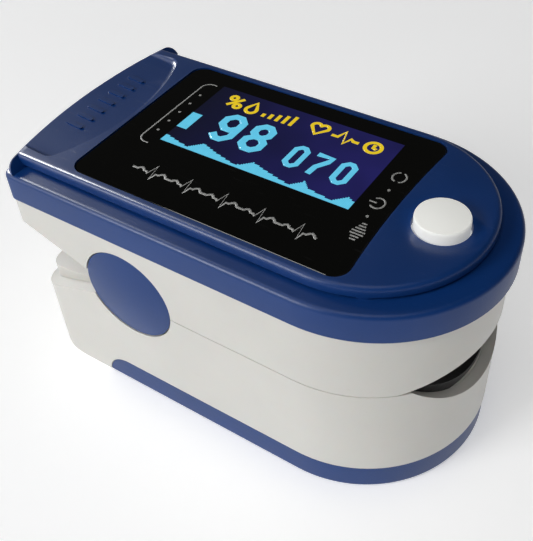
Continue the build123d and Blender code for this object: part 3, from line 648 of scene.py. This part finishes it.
# ---------------------------------------------------------------- the CAD parts


def smooth_copy(node, sharp_from=28):
    """Copy of a CAD node with its triangles joined, smooth but for edges sharper than an angle."""
    mesh = NODES[node].data.copy()
    if "custom_normal" in mesh.attributes:
        mesh.attributes.remove(mesh.attributes["custom_normal"])
    bm = bmesh.new()
    bm.from_mesh(mesh)
    bmesh.ops.remove_doubles(bm, verts=bm.verts, dist=2e-6)
    for face in bm.faces:
        face.smooth = True
    for edge in bm.edges:
        edge.smooth = edge.calc_face_angle(pi) < radians(sharp_from)
    bm.to_mesh(mesh)
    bm.free()
    piece = bpy.data.objects.new(node + "_smooth", mesh)
    bpy.context.scene.collection.objects.link(piece)
    mesh.materials.clear()
    mesh.materials.append(MATERIALS[SLOT_OF[node]])
    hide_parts(node)
    return piece


SMOOTHED = (
    "top_cover", "display_window", "button_cap", "upper_shell", "lower_shell", "battery_door",
    "near_pivot_cap", "far_pivot_cap", "upper_finger_pad", "lower_finger_pad", "near_battery",
    "far_battery", "emitter_window", "sensor_window",
)


def finish_parts():
    """Gives every CAD node its finish, and the round ones a smooth copy."""
    for node, part in NODES.items():
        for material_slot in part.material_slots:
            material_slot.material = MATERIALS[SLOT_OF[node]]
    for node in SMOOTHED:
        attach(smooth_copy(node), NODES[node]["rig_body"])
    # the button's smooth copy gets the plastic with the painted glow
    bpy.data.objects["button_cap_smooth"].data.materials[0] = BUTTON_WITH_PAINTED_GLOW


def bend_across_hinge():
    """Smooth copies of the springs and the sensor ribbon, which both jaws hold; they stay fixed in place,
    on neither jaw.
    """
    for node in ("near_torsion_spring", "far_torsion_spring"):
        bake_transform(smooth_copy(node))
    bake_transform(smooth_copy("sensor_ribbon"))


# ---------------------------------------------------------------- camera, lights and floor


CAMERA_PLACE = (43.531, -61.033, 87.757)
CAMERA_AZIMUTH = 36.53
CAMERA_ELEVATION = 44.37
CAMERA_ROLL = -4.14
CAMERA_LENS = 56.11

# Lamps: direction from the object, distance and size in metres, power in watts, and whether the
# lamp shows in reflections only
LAMPS = {
    "key": ((-0.40, -0.78, 0.48), 0.50, (0.20, 0.20), 1.1, False),
    "overhead": ((0.10, -0.35, 0.93), 0.60, (0.40, 0.40), 0.9, False),
    "rear_sheen": ((-0.85, 0.10, 0.50), 0.50, (0.10, 0.10), 6.0, True),
    "edge_sheen": ((-0.50, -0.78, 0.37), 0.50, (0.12, 0.12), 1.2, True),
}

WHITE_LIGHT = (1.0, 1.0, 1.0, 1)
LEFT_HORIZON = (0.34, 0.36, 0.40, 1)
RIGHT_HORIZON = (0.10, 0.085, 0.065, 1)
OVERHEAD_DARK = (0.035, 0.035, 0.035, 1)
FLOOR_GREY = (0.90, 0.90, 0.90, 1)
FLOOR_GLOW = 0.42
FLOOR_HALF = 1.5       # metres


def add_camera():
    """Camera above the near front corner, tipped slightly."""
    data = bpy.data.cameras.new("camera")
    data.lens = CAMERA_LENS
    data.sensor_width = 36.0
    data.clip_start = 0.005
    data.clip_end = 20.0
    camera = bpy.data.objects.new("camera", data)
    bpy.context.scene.collection.objects.link(camera)
    turn = Matrix.Rotation(radians(CAMERA_AZIMUTH), 4, "Z")
    turn = turn @ Matrix.Rotation(pi / 2 - radians(CAMERA_ELEVATION), 4, "X")
    turn = turn @ Matrix.Rotation(radians(CAMERA_ROLL), 4, "Z")
    camera.matrix_world = Matrix.Translation(Vector(CAMERA_PLACE) * MM) @ turn
    bpy.context.scene.camera = camera


def softbox(name, direction, distance, size, power, sheen_only):
    """Rectangular lamp that looks at the object from a direction; sheen_only lamps show in
    reflections and light nothing else."""
    data = bpy.data.lights.new(name, "AREA")
    data.shape = "RECTANGLE"
    data.size, data.size_y = size
    data.energy = power
    lamp = bpy.data.objects.new(name, data)
    lamp.visible_diffuse = not sheen_only
    bpy.context.scene.collection.objects.link(lamp)
    away = Vector(direction).normalized()
    target = (cad_low + cad_high) / 2
    turn = away.to_track_quat("Z", "Y").to_matrix().to_4x4()
    lamp.matrix_world = Matrix.Translation(target + away * distance) @ turn


def add_world():
    """Surroundings behind the lamps: dark overhead, pale at the left horizon, warm at the right,
    and white where the camera looks past the floor."""
    world = bpy.data.worlds.new("studio")
    bpy.context.scene.world = world
    world.use_nodes = True
    tree = world.node_tree
    background = tree.nodes["Background"]
    coordinates = tree.nodes.new("ShaderNodeTexCoord")
    axes = tree.nodes.new("ShaderNodeSeparateXYZ")
    tree.links.new(coordinates.outputs["Generated"], axes.inputs[0])
    across = remap(tree, axes.outputs[0], -0.7, 0.7)
    up = remap(tree, axes.outputs[2], 0.05, 0.5)
    horizon = mix_colours(tree, across, LEFT_HORIZON, RIGHT_HORIZON)
    sky = mix_colours(tree, up, horizon, OVERHEAD_DARK)
    path = tree.nodes.new("ShaderNodeLightPath")
    colour = mix_colours(tree, path.outputs["Is Camera Ray"], sky, WHITE_LIGHT)
    tree.links.new(colour, background.inputs["Color"])


def add_floor():
    """Plain pale floor."""
    bm = bmesh.new()
    bmesh.ops.create_grid(bm, x_segments=1, y_segments=1, size=FLOOR_HALF)
    mesh = bpy.data.meshes.new("floor")
    bm.to_mesh(mesh)
    bm.free()
    material = bpy.data.materials.new("floor")
    material.use_nodes = True
    surface = material.node_tree.nodes["Principled BSDF"]
    surface.inputs["Base Color"].default_value = FLOOR_GREY
    surface.inputs["Emission Color"].default_value = WHITE_LIGHT
    surface.inputs["Emission Strength"].default_value = FLOOR_GLOW
    surface.inputs["Roughness"].default_value = 0.9
    surface.inputs["Specular IOR Level"].default_value = 0.1
    mesh.materials.append(material)
    floor = bpy.data.objects.new("floor", mesh)
    bpy.context.scene.collection.objects.link(floor)


def set_stage():
    """Lamps, floor, world and the way light is turned into colour."""
    add_camera()
    add_world()
    add_floor()
    for name, settings in LAMPS.items():
        softbox(name, *settings)
    bpy.context.scene.view_settings.view_transform = "Standard"


set_stage()
finish_parts()
bend_across_hinge()
build_screen()
build_print()
